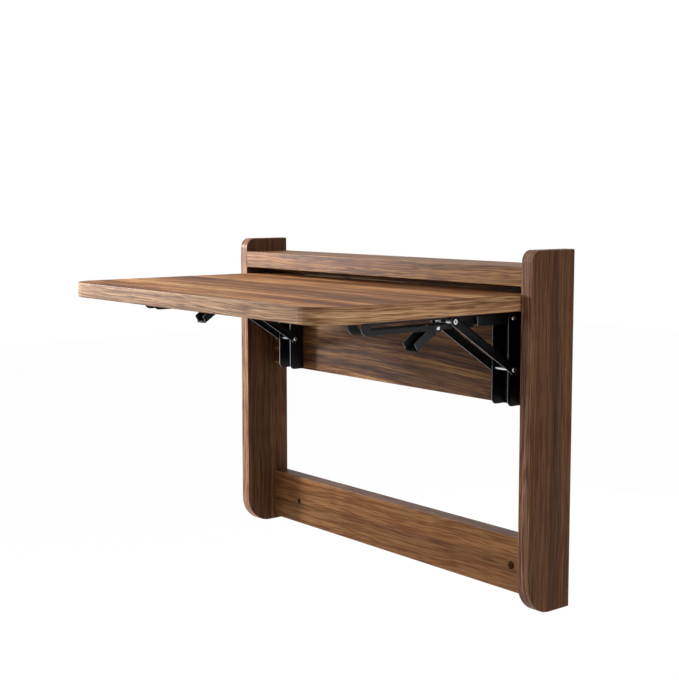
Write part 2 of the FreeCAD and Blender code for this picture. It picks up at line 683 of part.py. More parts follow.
def make_spring(side, middle):
    """The torsion spring on the lever rivet: one unbroken wire with a leg along the lever."""
    wire_radius = size("spring_wire_radius")
    coil = size("lever_rivet_radius") + wire_radius + size("spring_play")
    pitch = size("spring_pitch")
    turns = int(size("spring_turns"))

    def on_coil(angle):
        """A point of the wire's middle line, wound about X from the bottom of the coil."""
        along = pitch * (angle / (2 * math.pi) - turns / 2)
        return Vector(along, coil * math.sin(angle), -coil * math.cos(angle))

    def way_at(angle):
        """The wire's direction at that point."""
        way = Vector(pitch / (2 * math.pi), coil * math.cos(angle), coil * math.sin(angle))
        return way.normalize()

    leg_start = on_coil(0) - way_at(0) * size("spring_leg")
    edges = [Part.LineSegment(leg_start, on_coil(0)).toShape()]
    quarters = [step * math.pi / 2 for step in range(4 * turns + 1)]
    for before, after in zip(quarters, quarters[1:]):
        edges += biarc(on_coil(before), way_at(before), on_coil(after), way_at(after))
    coil_end = on_coil(quarters[-1])
    edges.append(Part.LineSegment(coil_end, coil_end + way_at(0) * coil).toShape())
    path = Part.Wire(edges)
    section = Part.Wire([Part.Circle(leg_start, way_at(0), wire_radius).toShape()])

    samples = [on_coil(step * math.pi / 12) for step in range(24 * turns + 1)]
    gaps = [first.distanceToPoint(second) for number, first in enumerate(samples)
            for second in samples[number + 12:]]
    print(f"{side} spring: least gap between turns {min(gaps) - 2 * wire_radius:.2f} mm")

    spring = doc.addObject("Part::Feature", f"{side}_lever_spring")
    spring.Label = f"{side}_lever_spring"
    spring.Shape = path.makePipeShell([section], True, False)
    spring.Placement = doc.getObject(f"{side}_release_lever").Placement
    pieces.append(spring)


def make_screws(label, x, y, z, plane, spots, sign):
    """A row of pan-head wood screws; sign tells which way along the normal the heads lie."""
    body = new_body(label, x, y, z)
    body.AllowCompound = True
    shanks = [(*spot, "screw_radius") for spot in spots]
    pad(body, discs(body, plane, shanks, f"-({sign}) * screw_length / 2"), "screw_length")
    heads = [(*spot, "screw_head_radius") for spot in spots]
    pad(body, discs(body, plane, heads, f"{sign} * screw_head_height / 2"), "screw_head_height")
    drives = [(*spot, "screw_drive_radius") for spot in spots]
    pocket(body, discs(body, plane, drives, f"{sign} * screw_head_height"),
           "2 * screw_drive_depth")
    pieces.append(body)


def make_frame_fixings():
    """The hidden dowels, cam bolts and cam discs that hold the rails between the uprights."""
    dowels = new_body("frame_dowels")
    bolts = new_body("cam_bolts")
    discs_body = new_body("cam_discs")
    for body in (dowels, bolts, discs_body):
        body.AllowCompound = True
    for sign in ("-1", "1"):
        joint = f"{sign} * {INNER_WIDTH} / 2"
        spots = [(*spot, "dowel_radius") for fixing in FIXINGS.values() for spot in fixing["dowels"]]
        inset = f"{sign} * (dowel_length / 2 - blind_hole_depth + fixing_gap)"
        pad(dowels, discs(dowels, "YZ_Plane", spots, f"{joint} - {inset}"), "dowel_length")
        spots = [(*fixing["bolt"], "cam_bolt_radius") for fixing in FIXINGS.values()]
        length = "(cam_bolt_bite + cam_setback - cam_radius - 2 * fixing_gap)"
        inset = f"{sign} * ({length} / 2 - cam_bolt_bite + fixing_gap)"
        pad(bolts, discs(bolts, "YZ_Plane", spots, f"{joint} - {inset}"), length)
        cam_middle = f"{sign} * ({INNER_WIDTH} / 2 - cam_setback)"
        height = "(cam_height - 2 * fixing_gap)"
        spots = [(cam_middle, FIXINGS[label]["bolt"][1], "cam_radius")
                 for label in ("back_panel", "bottom_rail")]
        level = f"{height} / 2 + fixing_gap"
        pad(discs_body, discs(discs_body, "XZ_Plane", spots, level), height)
        spots = [(cam_middle, FIXINGS["top_rail"]["bolt"][0], "cam_radius")]
        level = f"{RAIL_UNDERSIDE} + {height} / 2 + fixing_gap"
        pad(discs_body, discs(discs_body, "XY_Plane", spots, level), height)
    pieces.extend([dowels, bolts, discs_body])


def make_bracket(side, middle):
    """One folding bracket, from its wall plate to its screws."""
    make_wall_plate(side, middle)
    make_arm(side, middle)
    outward = "-1" if side == "left" else "1"
    make_brace_bar(side, middle, "inner", f"-({outward})")
    make_brace_bar(side, middle, "outer", outward)
    make_lever(side, middle)
    make_spring(side, middle)
    make_arm_rivet(side, middle)
    make_brace_rivet(side, middle)
    make_slide_pin(side, middle)
    make_brace_studs(side, middle)
    make_lever_rivet(side, middle)
    make_screws(f"{side}_plate_screws", middle, "-(panel_thickness + steel_thickness)",
                PLATE_FOOT, "XZ_Plane", [("0", height) for height in PLATE_SCREWS], "1")
    make_screws(f"{side}_arm_screws", middle, ARM_PIVOT_Y,
                f"{TABLE_UNDERSIDE} - steel_thickness", "XY_Plane",
                [("0", f"-{reach}") for reach in ARM_SCREWS], "-1")


def check_and_write():
    """Stop if anything failed to compute, then write each piece to its own file."""
    doc.recompute()
    for thing in doc.Objects:
        if {"Invalid", "Error"} & set(thing.State):
            raise ValueError(f"{thing.Name} of the document failed: {thing.State}")
    os.makedirs("parts", exist_ok=True)
    for piece in pieces:
        shape = piece.Shape
        if shape.isNull() or not shape.isValid():
            raise ValueError(f"{piece.Label} has no valid shape")
        shape.exportStep(f"parts/{piece.Label}.step")
        box = shape.BoundBox
        print(f"{piece.Label}: {len(shape.Solids)} solid(s), {shape.Volume:.0f} mm3, "
              f"x {box.XMin:.1f} {box.XMax:.1f}, y {box.YMin:.1f} {box.YMax:.1f}, "
              f"z {box.ZMin:.1f} {box.ZMax:.1f}")


make_upright("left", "-1")
make_upright("right", "1")
make_rail("top_rail", "frame_depth", RAIL_UNDERSIDE, RAIL_TOP, "XY_Plane", RAIL_UNDERSIDE)
panel = make_rail("back_panel", "panel_thickness", PANEL_FOOT, RAIL_UNDERSIDE, "XZ_Plane", "0")
drill_wall_holes(panel, UPPER_SCREW)
drill_screw_pilots(panel)
bottom_rail = make_rail("bottom_rail", "panel_thickness", "foot_gap", BOTTOM_RAIL_TOP,
                        "XZ_Plane", "0")
drill_wall_holes(bottom_rail, LOWER_SCREW)
make_tabletop()
make_frame_fixings()
for side, middle in SIDES.items():
    make_bracket(side, middle)
check_and_write()
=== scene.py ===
# %% [markdown]
# # A wall table that folds down
#
# A walnut frame hangs on the wall and carries a tabletop on two black folding brackets. The
# construction model already has every board, sheet and rivet at its true size. This lesson gives
# them the surfaces that the eye knows: veneer with its grain and edge bands, satin black paint on
# pressed steel, and bright plated rivets.

# %% Load the construction model
import math

import bmesh
import bpy
from mathutils import Matrix, Vector
from mathutils.bvhtree import BVHTree


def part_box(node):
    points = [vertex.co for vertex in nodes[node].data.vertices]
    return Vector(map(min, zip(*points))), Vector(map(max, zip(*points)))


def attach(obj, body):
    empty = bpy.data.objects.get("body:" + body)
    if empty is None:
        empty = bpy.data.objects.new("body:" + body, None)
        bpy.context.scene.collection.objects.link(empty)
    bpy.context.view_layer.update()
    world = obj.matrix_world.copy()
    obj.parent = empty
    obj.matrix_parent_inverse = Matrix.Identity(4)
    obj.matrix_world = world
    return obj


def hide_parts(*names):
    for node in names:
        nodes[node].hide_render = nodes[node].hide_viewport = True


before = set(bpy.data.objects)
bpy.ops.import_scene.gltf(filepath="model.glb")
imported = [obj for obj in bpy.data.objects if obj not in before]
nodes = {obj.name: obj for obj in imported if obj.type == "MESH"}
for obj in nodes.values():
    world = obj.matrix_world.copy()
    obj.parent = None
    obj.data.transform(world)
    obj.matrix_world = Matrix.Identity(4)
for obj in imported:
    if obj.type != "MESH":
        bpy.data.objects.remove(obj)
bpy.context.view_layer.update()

# %% [markdown]
# ## Sizes in millimetres
#
# The model is in metres, while grain, paint and sheet steel are easier to picture in
# millimetres. One value turns them into metres, and every pattern below is sized with it.

# %% Millimetres
MM = 0.001
print("one millimetre is", MM, "metres")

# %% [markdown]
# ## The camera
#
# The camera stands where the photographer's stood: high on the right, looking left and slightly
# down. It could be found by eye, but the corners of the boards fix it. Their places in the
# picture and on the table together give its place, its turn and its lens. The picture was cut
# out of a larger one, so a small shift puts the lens axis off the middle.

# %% Camera
PICTURE_WIDTH = 679
PICTURE_HEIGHT = 680
LENS_PIXELS = 1268.8
AXIS_PIXEL = (336.1, 326.4)
SENSOR = 36
CAMERA_PLACE = Vector((1389.6, -1261.3, 131.8)) * MM
CAMERA_TURN = math.radians(51.02)
CAMERA_DIP = math.radians(5.77)
CAMERA_ROLL = math.radians(0.04)

camera_data = bpy.data.cameras.new("photographer")
camera = bpy.data.objects.new("photographer", camera_data)
bpy.context.scene.collection.objects.link(camera)
turned = Matrix.Rotation(CAMERA_TURN, 4, "Z")
dipped = Matrix.Rotation(math.pi / 2 - CAMERA_DIP, 4, "X")
rolled = Matrix.Rotation(-CAMERA_ROLL, 4, "Z")
camera.matrix_world = Matrix.Translation(CAMERA_PLACE) @ turned @ dipped @ rolled
camera_data.sensor_fit = "HORIZONTAL"
camera_data.sensor_width = SENSOR
camera_data.lens = LENS_PIXELS * SENSOR / PICTURE_WIDTH
camera_data.shift_x = (PICTURE_WIDTH / 2 - AXIS_PIXEL[0]) / PICTURE_WIDTH
camera_data.shift_y = (AXIS_PIXEL[1] - PICTURE_HEIGHT / 2) / PICTURE_WIDTH
bpy.context.scene.camera = camera
print("lens in millimetres", round(camera_data.lens, 1))

# %% [markdown]
# ## Colours as they are written
#
# A colour picked from a picture is an sRGB value, which is bent so that dark tones get more
# steps. Shaders add up light and need it straight. One function unbends each hex colour, with the
# numbers of the sRGB standard.

# %% Colour
def linear(hex_colour):
    """Turn an sRGB hex colour into the linear one that shaders use."""
    shares = [int(hex_colour[place:place + 2], 16) / 255 for place in (1, 3, 5)]
    straight = [share / 12.92 if share <= 0.04045 else ((share + 0.055) / 1.055) ** 2.4
                for share in shares]
    return (*straight, 1)


print("mid grey", round(linear("#808080")[0], 3))

# %% [markdown]
# ## Adding a node
#
# A material is a small graph. Every node in it is made the same way: choose its kind, set a few
# values, and join some of its inputs to nodes made before. One function does all three. Inputs go
# by name, or by number where names repeat: a colour mix takes its share at 0 and its two colours
# at 6 and 7, and gives the result at output 2.

# %% Node
def add(tree, kind, settings=(), links=()):
    """Add a node, set its properties and inputs by name or number, and link its inputs."""
    node = tree.nodes.new(kind)
    for name, value in dict(settings).items():
        if name in node.bl_rna.properties.keys():
            setattr(node, name, value)
        else:
            node.inputs[name].default_value = value
    for name, source in dict(links).items():
        tree.links.new(source, node.inputs[name])
    return node


def new_material(name, colour, roughness, metallic=0.0):
    """Start a material with one plain Principled surface."""
    material = bpy.data.materials.new(name)
    material.use_nodes = True
    surface = material.node_tree.nodes["Principled BSDF"]
    surface.inputs["Base Color"].default_value = linear(colour)
    surface.inputs["Roughness"].default_value = roughness
    surface.inputs["Metallic"].default_value = metallic
    return material, material.node_tree, surface


print("materials at the start", len(bpy.data.materials))

# %% [markdown]
# ## How walnut gets its figure
#
# A walnut log is a stack of cones, one grown each year. A saw cut beside the pith meets the
# cones at a slant and shows arches, and a cut further out shows nearly straight stripes. A
# picture of wood could be laid on instead, but it would repeat and wouldn't know where a board
# was cut. Here the veneer is a place in the log: `along` runs with the grain, `across` is the
# distance from the pith, and the distance to the log's axis decides the tone. Each board then
# only needs its own place, and arches and stripes come by themselves.

# %% Walnut veneer
GRAIN_MAP = "grain"

# Lengths run with the grain, and widths run across it
WANDER_LENGTH = 340 * MM
WANDER_WIDTH = 260 * MM
WANDER = 22 * MM
RIPPLE_LENGTH = 60 * MM
RIPPLE_WIDTH = 30 * MM
RIPPLE = 3 * MM
LOG_SWAY = 1500 * MM
LOG_DEPTH = 26 * MM
PITH_DISTANCE = 1.2 * LOG_DEPTH
STRIPE_LENGTH = 900 * MM
YEAR_WIDTH = 5 * MM
YEAR_LENGTH = 210 * MM
FIBRE_WIDTH = 1.2 * MM
FIBRE_LENGTH = 52 * MM
FIBRE_DEPTH = 0.12 * MM
PORE_WIDTH = 0.9 * MM
PORE_LENGTH = 34 * MM
TINT_WIDTH = 26 * MM
TINT_LENGTH = 420 * MM

# A noise runs from 0 to 1, and these are places on it or distances from its middle
YEAR_LINE = 0.08
PORE_STARTS, PORE_FULL = 0.56, 0.76
TINT_LOW, TINT_HIGH = 0.35, 0.65

# The wood's colour drifts between these two tints
REDDER = "#FFF3EE"
GREENER = "#F6F5E8"

# Satin lacquer is thin, so fibres show through it as low ridges
FIBRE_BUMP = 0.3
LACQUER_IOR = 1.5
LACQUER_SPREAD = 0.2


def walnut(name, tones, stripe_width, stripe_share, fibre_share, line_tone, gloss, roughness):
    """Make a veneer whose tones follow the growth rings of a log."""
    material, tree, surface = new_material(name, tones[len(tones) // 2], roughness)
    place = add(tree, "ShaderNodeUVMap", {"uv_map": GRAIN_MAP})
    spot = add(tree, "ShaderNodeSeparateXYZ", (), {0: place.outputs[0]})
    along, across = spot.outputs["X"], spot.outputs["Y"]

    # The log isn't straight, so its rings wander sideways, and they ripple a little as well
    wander_place = add(tree, "ShaderNodeVectorMath",
                       {"operation": "DIVIDE", 1: (WANDER_LENGTH, WANDER_WIDTH, 1)},
                       {0: place.outputs[0]})
    wander = add(tree, "ShaderNodeTexNoise", {"Scale": 1, "Detail": 1},
                 {"Vector": wander_place.outputs[0]})
    wandered = add(tree, "ShaderNodeMath", {"operation": "MULTIPLY_ADD", 1: WANDER},
                   {0: wander.outputs[0], 2: across})
    ripple_place = add(tree, "ShaderNodeVectorMath",
                       {"operation": "DIVIDE", 1: (RIPPLE_LENGTH, RIPPLE_WIDTH, 1)},
                       {0: place.outputs[0]})
    ripple = add(tree, "ShaderNodeTexNoise", {"Scale": 1, "Detail": 1},
                 {"Vector": ripple_place.outputs[0]})
    rippled = add(tree, "ShaderNodeMath", {"operation": "MULTIPLY_ADD", 1: RIPPLE},
                  {0: ripple.outputs[0], 2: wandered.outputs[0]})

    # The saw runs nearer to the pith and away again, which closes the rings into arches
    turn = add(tree, "ShaderNodeMath", {"operation": "MULTIPLY", 1: 2 * math.pi / LOG_SWAY},
               {0: along})
    sway = add(tree, "ShaderNodeMath", {"operation": "COSINE"}, {0: turn.outputs[0]})
    depth = add(tree, "ShaderNodeMath",
                {"operation": "MULTIPLY_ADD", 1: -LOG_DEPTH, 2: PITH_DISTANCE},
                {0: sway.outputs[0]})
    log = add(tree, "ShaderNodeCombineXYZ", (),
              {0: rippled.outputs[0], 1: depth.outputs[0]})
    radius = add(tree, "ShaderNodeVectorMath", {"operation": "LENGTH"}, {0: log.outputs[0]})
    ring = add(tree, "ShaderNodeCombineXYZ", (), {0: radius.outputs["Value"], 1: along})

    # Good and poor years make wide stripes. Fibres are hundredths of a millimetre wide, so the
    # fine stripes are whole bundles of them, drawn wide enough to show
    stripe_place = add(tree, "ShaderNodeVectorMath",
                       {"operation": "DIVIDE", 1: (stripe_width, STRIPE_LENGTH, 1)},
                       {0: ring.outputs[0]})
    stripe = add(tree, "ShaderNodeTexNoise", {"Scale": 1, "Detail": 5, "Roughness": 0.72},
                 {"Vector": stripe_place.outputs[0]})
    fibre_place = add(tree, "ShaderNodeVectorMath",
                      {"operation": "DIVIDE", 1: (FIBRE_WIDTH, FIBRE_LENGTH, 1)},
                      {0: ring.outputs[0]})
    fibre = add(tree, "ShaderNodeTexNoise", {"Scale": 1, "Detail": 2, "Roughness": 0.65},
                {"Vector": fibre_place.outputs[0]})

    # Both are spread about their middle before they are added and coloured
    striped = add(tree, "ShaderNodeMath",
                  {"operation": "MULTIPLY_ADD", 1: stripe_share,
                   2: 0.5 - (stripe_share + fibre_share) / 2},
                  {0: stripe.outputs[0]})
    tone = add(tree, "ShaderNodeMath",
               {"operation": "MULTIPLY_ADD", 1: fibre_share, "use_clamp": True},
               {0: fibre.outputs[0], 2: striped.outputs[0]})
    ramp = add(tree, "ShaderNodeValToRGB", (), {0: tone.outputs[0]})
    steps = ramp.color_ramp.elements
    steps[0].color = linear(tones[0])
    steps[1].color = linear(tones[-1])
    for step, hex_colour in enumerate(tones[1:-1], 1):
        steps.new(step / (len(tones) - 1)).color = linear(hex_colour)

    # Every year ends in a thin dark line, drawn where a slow noise passes its middle
    year_place = add(tree, "ShaderNodeVectorMath",
                     {"operation": "DIVIDE", 1: (YEAR_WIDTH, YEAR_LENGTH, 1)},
                     {0: ring.outputs[0]})
    year = add(tree, "ShaderNodeTexNoise", {"Scale": 1, "Detail": 2, "Roughness": 0.6},
               {"Vector": year_place.outputs[0]})
    off_middle = add(tree, "ShaderNodeMath", {"operation": "SUBTRACT", 1: 0.5},
                     {0: year.outputs[0]})
    off_line = add(tree, "ShaderNodeMath", {"operation": "ABSOLUTE"}, {0: off_middle.outputs[0]})
    line = add(tree, "ShaderNodeMapRange",
               {"interpolation_type": "SMOOTHSTEP", "From Max": YEAR_LINE},
               {"Value": off_line.outputs[0]})

    # Pores are dashes a quarter of a millimetre wide, drawn wider here so that they show
    pore_place = add(tree, "ShaderNodeVectorMath",
                     {"operation": "DIVIDE", 1: (PORE_WIDTH, PORE_LENGTH, 1)},
                     {0: ring.outputs[0]})
    pore = add(tree, "ShaderNodeTexNoise", {"Scale": 1, "Detail": 0},
               {"Vector": pore_place.outputs[0]})
    closed = add(tree, "ShaderNodeMapRange",
                 {"interpolation_type": "SMOOTHSTEP", "From Min": PORE_STARTS,
                  "From Max": PORE_FULL, "To Min": 1, "To Max": 0},
                 {"Value": pore.outputs[0]})
    plain = add(tree, "ShaderNodeMath", {"operation": "MULTIPLY"},
                {0: line.outputs[0], 1: closed.outputs[0]})
    lined = add(tree, "ShaderNodeMix", {"data_type": "RGBA", 6: linear(line_tone),
                                        7: linear("#FFFFFF")}, {0: plain.outputs[0]})
    wood = add(tree, "ShaderNodeMix", {"data_type": "RGBA", "blend_type": "MULTIPLY", 0: 1},
               {6: ramp.outputs[0], 7: lined.outputs[2]})

    # Walnut drifts between a redder and a greener brown across its width
    tint_place = add(tree, "ShaderNodeVectorMath",
                     {"operation": "DIVIDE", 1: (TINT_WIDTH, TINT_LENGTH, 1)},
                     {0: ring.outputs[0]})
    drift = add(tree, "ShaderNodeTexNoise", {"Scale": 1, "Detail": 2},
                {"Vector": tint_place.outputs[0]})
    spread = add(tree, "ShaderNodeMapRange", {"From Min": TINT_LOW, "From Max": TINT_HIGH},
                 {"Value": drift.outputs[0]})
    tint = add(tree, "ShaderNodeMix", {"data_type": "RGBA", 6: linear(GREENER), 7: linear(REDDER)},
               {0: spread.outputs[0]})
    tinted = add(tree, "ShaderNodeMix", {"data_type": "RGBA", "blend_type": "MULTIPLY", 0: 1},
                 {6: wood.outputs[2], 7: tint.outputs[2]})
    tree.links.new(tinted.outputs[2], surface.inputs["Base Color"])

    # Open pores take less lacquer, so dark fibres are a little rougher and lower
    dull = add(tree, "ShaderNodeMath",
               {"operation": "MULTIPLY_ADD", 1: -LACQUER_SPREAD,
                2: roughness + LACQUER_SPREAD / 2},
               {0: fibre.outputs[0]})
    tree.links.new(dull.outputs[0], surface.inputs["Roughness"])
    relief = add(tree, "ShaderNodeBump", {"Strength": FIBRE_BUMP, "Distance": FIBRE_DEPTH},
                 {"Height": fibre.outputs[0]})
    tree.links.new(relief.outputs[0], surface.inputs["Normal"])
    surface.inputs["IOR"].default_value = LACQUER_IOR
    surface.inputs["Specular IOR Level"].default_value = gloss
    return material


tabletop_veneer = walnut(
    "lacquered_walnut_veneer_tabletop",
    ("#5C3D29", "#7D573A", "#9D724C", "#B98E63", "#D3A97E"),
    stripe_width=44 * MM, stripe_share=4.6, fibre_share=0.8,
    line_tone="#BCA088", gloss=0.07, roughness=0.6)
rail_veneer = walnut(
    "lacquered_walnut_veneer_rail",
    ("#452E1D", "#65472D", "#7D5938", "#926944", "#A97D56"),
    stripe_width=15 * MM, stripe_share=1.5, fibre_share=0.5,
    line_tone="#C4AE9A", gloss=0.1, roughness=0.5)
# Darker than the rail's veneer, as painted shade for the tabletop above the panel
shaded_panel_veneer = walnut(
    "lacquered_walnut_veneer_panel_painted_shade",
    ("#2B1C12", "#4B3421", "#6B4A30", "#8C6A43", "#B8946A"),
    stripe_width=22 * MM, stripe_share=3.4, fibre_share=0.5,
    line_tone="#AC9078", gloss=0.14, roughness=0.42)
upright_veneer = walnut(
    "lacquered_walnut_veneer_upright",
    ("#38261B", "#513728", "#624530", "#745238", "#896344"),
    stripe_width=19 * MM, stripe_share=2.3, fibre_share=0.4,
    line_tone="#C4AE9C", gloss=0.1, roughness=0.55)
# The palest copy of the band: walnut whose light tones are also painted sheen on the tabletop's
# lit front
edge_veneer = walnut(
    "lacquered_walnut_edge_band",
    ("#6C4F38", "#8E6D4F", "#AC8965", "#C6A37C", "#E0BF98"),
    stripe_width=8 * MM, stripe_share=1.9, fibre_share=1.1,
    line_tone="#AE9680", gloss=0.2, roughness=0.4)
# A darker copy of the band, as painted shade for the less light that reaches the top rail's front
shaded_rail_edge_veneer = walnut(
    "lacquered_walnut_edge_band_golden_painted_shade",
    ("#4A2D14", "#6E4826", "#8C6338", "#A87A44", "#C6995D"),
    stripe_width=8 * MM, stripe_share=1.7, fibre_share=1.1,
    line_tone="#9C7C5C", gloss=0.16, roughness=0.38)
# A paler copy of the band, as painted light on the left upright's brightly lit front
lit_upright_edge_veneer = walnut(
    "lacquered_walnut_edge_band_pink_painted_light",
    ("#543A2C", "#785948", "#95745E", "#AE8C75", "#CCAC94"),
    stripe_width=8 * MM, stripe_share=1.6, fibre_share=1.2,
    line_tone="#9C806C", gloss=0.12, roughness=0.44)
# A darker copy of the band, as painted shade on the right upright and the bottom rail's top edge
shaded_edge_veneer = walnut(
    "lacquered_walnut_edge_band_dark_painted_shade",
    ("#4C3427", "#644736", "#7B5B48", "#927260", "#AA8A76"),
    stripe_width=8 * MM, stripe_share=1.5, fibre_share=0.9,
    line_tone="#A48A78", gloss=0.1, roughness=0.45)
# Paler partly because sanding bares lighter wood and partly as a painted highlight along the edge
arris_highlight_veneer = walnut(
    "sanded_walnut_arris_and_painted_highlight",
    ("#5A402C", "#7A5A40", "#936F50", "#A88462", "#BE9A78"),
    stripe_width=8 * MM, stripe_share=1.0, fibre_share=1.0,
    line_tone="#C8B09C", gloss=0.15, roughness=0.5)
veneers = (tabletop_veneer, rail_veneer, shaded_panel_veneer, upright_veneer, edge_veneer,
           shaded_rail_edge_veneer, lit_upright_edge_veneer, shaded_edge_veneer, arris_highlight_veneer)
print("veneers", [veneer.name for veneer in veneers])

# %% [markdown]
# ## The board inside
#
# Veneer is only skin. A drilled hole shows the fibreboard under it, which is pale brown dust and
# glue pressed flat. It could be one flat brown, but a hole then looks painted. So it is matt with
# specks, drawn a little coarser than the dust so that they show.

# %% Fibreboard core
DUST = 0.8 * MM

core, core_tree, core_surface = new_material("pressed_fibreboard_core", "#8C6A48", 0.85)
core_place = add(core_tree, "ShaderNodeTexCoord")
dust = add(core_tree, "ShaderNodeTexNoise", {"Scale": 1 / DUST, "Detail": 3},
           {"Vector": core_place.outputs["Object"]})
dust_ramp = add(core_tree, "ShaderNodeValToRGB", (), {0: dust.outputs[0]})
dust_ramp.color_ramp.elements[0].color = linear("#5F4630")
dust_ramp.color_ramp.elements[1].color = linear("#B08D66")
core_tree.links.new(dust_ramp.outputs[0], core_surface.inputs["Base Color"])
print("core", core.name)

# %% [markdown]
# ## Laying the veneer
#
# A cabinetmaker lays one sheet on each face and wraps a narrow band round the edges, so the
# grain on an edge follows the edge, also round a corner. A solid texture would show end grain
# there instead. So each board gets a copy that carries a map in metres: faces take their two
# flat directions, and the band takes the way round the board and the thickness. A narrow sanded
# arris lies between the two, paler partly because sanding bares lighter wood and partly as a
# painted highlight along the edge, and every bore and recess shows the core.

# %% Boards
OUTER_SKIN = 1.2 * MM
RAY_START = 0.01 * MM
FACE_LEAN = 0.97
BAND_LEAN = 0.1
BACK_SHIFT = (310 * MM, 120 * MM)
FACE_SLOT, BAND_SLOT, ARRIS_SLOT, CORE_SLOT = range(4)


def lay_veneer(node, grain, across, thick, face_place, band_place, face_finish, band_finish,
               body):
    """Copy a board and map its faces and edge band to places in the log."""
    mesh = nodes[node].data.copy()
    board = bpy.data.objects.new(node + "_veneered", mesh)
    bpy.context.scene.collection.objects.link(board)
    mesh.materials.clear()
    for finish in (face_finish, band_finish, arris_highlight_veneer, core):
        mesh.materials.append(finish)
    low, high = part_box(node)
    middle = (low[grain] + high[grain]) / 2
    shape = BVHTree.FromPolygons([corner.co for corner in mesh.vertices],
                                 [tuple(face.vertices) for face in mesh.polygons])
    grain_map = mesh.uv_layers.new(name=GRAIN_MAP)
    for face in mesh.polygons:
        lean = abs(face.normal[thick])
        level = face.center[thick]
        outermost = min(abs(level - low[thick]), abs(level - high[thick])) < OUTER_SKIN

        # A face that looks at its own board across a gap lies in a bore or a recess
        start = face.center + face.normal * RAY_START
        drilled = lean < FACE_LEAN and shape.ray_cast(start, face.normal)[0] is not None
        if drilled or (lean > FACE_LEAN and not outermost):
            face.material_index = CORE_SLOT
        elif lean < BAND_LEAN:
            face.material_index = BAND_SLOT
        elif lean < FACE_LEAN:
            face.material_index = ARRIS_SLOT
        else:
            face.material_index = FACE_SLOT

        # Veneer on a face lies straight, and the band's map goes round the board with it
        for loop in face.loop_indices:
            point = mesh.vertices[mesh.loops[loop].vertex_index].co
            if face.material_index in (BAND_SLOT, ARRIS_SLOT):
                side = 1 if point[grain] > middle else -1
                spot = (point[grain] + side * (point[across] - low[across]), point[thick])
                start_place = band_place
            else:
                spot = (point[grain], point[across])
                start_place = face_place
                if face.normal[thick] > 0:
                    spot = (spot[0] + BACK_SHIFT[0], spot[1] + BACK_SHIFT[1])
            grain_map.data[loop].uv = (spot[0] + start_place[0], spot[1] + start_place[1])
    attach(board, body)
    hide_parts(node)
    return board


# Each board has the directions of its grain, width and thickness, the places in the log of its
# faces and its band in metres, the finishes of the two, and the body that it moves with
X, Y, Z = 0, 1, 2
BOARDS = {
    "tabletop": (X, Y, Z, (0.1, 0.55), (0.2, 0.2), tabletop_veneer, edge_veneer, "table"),
    "top_rail": (X, Y, Z, (0.4, 0.1), (0.9, 0.16), rail_veneer, shaded_rail_edge_veneer, "root"),
    "back_panel": (X, Z, Y, (0.225, 0.165), (0.5, 0.3), shaded_panel_veneer, edge_veneer, "root"),
    # The bottom rail and the right upright take the band's painted shade, and the left upright its
    # painted light
    "bottom_rail": (X, Z, Y, (1.15, 0.46), (1.4, 0.14), rail_veneer, shaded_edge_veneer, "root"),
    "left_upright": (Z, Y, X, (0.3, 0.2), (0.7, 0.5), upright_veneer, lit_upright_edge_veneer, "root"),
    "right_upright": (Z, Y, X, (0.9, 0.42), (1.9, 0.4), upright_veneer, shaded_edge_veneer, "root"),
}
for node, plan in BOARDS.items():
    board = lay_veneer(node, *plan)
    print(board.name, len(board.data.polygons), "faces")

# %% [markdown]
# ## Pressed steel, painted black
#
# The brackets are blanked and bent from sheet, then powder coated. Paint hides the metal, so it
# isn't made as a metal. It could be one flat black, but real paint has a satin skin with a faint
# orange peel, and its sheen changes from place to place. It pulls thin over sheared edges, so
# these shine more, and their pale grey is partly that thin paint and partly a painted highlight
# along each edge. Arms and levers take a paler copy of the paint, as painted light where light
# falls on them, and plates and bars a darker one.

# %% Black paint
PEEL = 1.4 * MM
PEEL_DEPTH = 0.05 * MM
PEEL_BUMP = 0.2
SCUFF = 9 * MM
SHEEN_SPREAD = 0.2


def black_paint(name, dark, pale, roughness, gloss):
    """Make a powder coat with orange peel and broad, faint changes of sheen."""
    material, tree, surface = new_material(name, dark, roughness)
    place = add(tree, "ShaderNodeTexCoord")
    peel = add(tree, "ShaderNodeTexNoise", {"Scale": 1 / PEEL, "Detail": 1},
               {"Vector": place.outputs["Object"]})
    scuff = add(tree, "ShaderNodeTexNoise", {"Scale": 1 / SCUFF, "Detail": 3},
                {"Vector": place.outputs["Object"]})
    shade = add(tree, "ShaderNodeMix", {"data_type": "RGBA", 6: linear(dark), 7: linear(pale)},
                {0: scuff.outputs[0]})
    tree.links.new(shade.outputs[2], surface.inputs["Base Color"])
    sheen = add(tree, "ShaderNodeMath",
                {"operation": "MULTIPLY_ADD", 1: SHEEN_SPREAD,
                 2: roughness - SHEEN_SPREAD / 2},
                {0: scuff.outputs[0]})
    tree.links.new(sheen.outputs[0], surface.inputs["Roughness"])
    relief = add(tree, "ShaderNodeBump", {"Strength": PEEL_BUMP, "Distance": PEEL_DEPTH},
                 {"Height": peel.outputs[0]})
    tree.links.new(relief.outputs[0], surface.inputs["Normal"])
    surface.inputs["Specular IOR Level"].default_value = gloss
    return material


flat_paint = black_paint("powder_coated_steel_black", "#070708", "#0E0E11", 0.46, 0.14)
# A paler copy of the paint, as painted light on the arms and levers
lit_slate_paint = black_paint("powder_coated_steel_slate_painted_light", "#0E1012", "#1C1F23", 0.42, 0.22)
# The sheared edges' pale grey is partly thin paint and partly a painted highlight along each edge
edge_paint_and_highlight = black_paint("powder_coated_sheared_edge_and_painted_highlight", "#5A5B5F", "#98999B", 0.4, 0.08)
print("paints", flat_paint.name, lit_slate_paint.name, edge_paint_and_highlight.name)

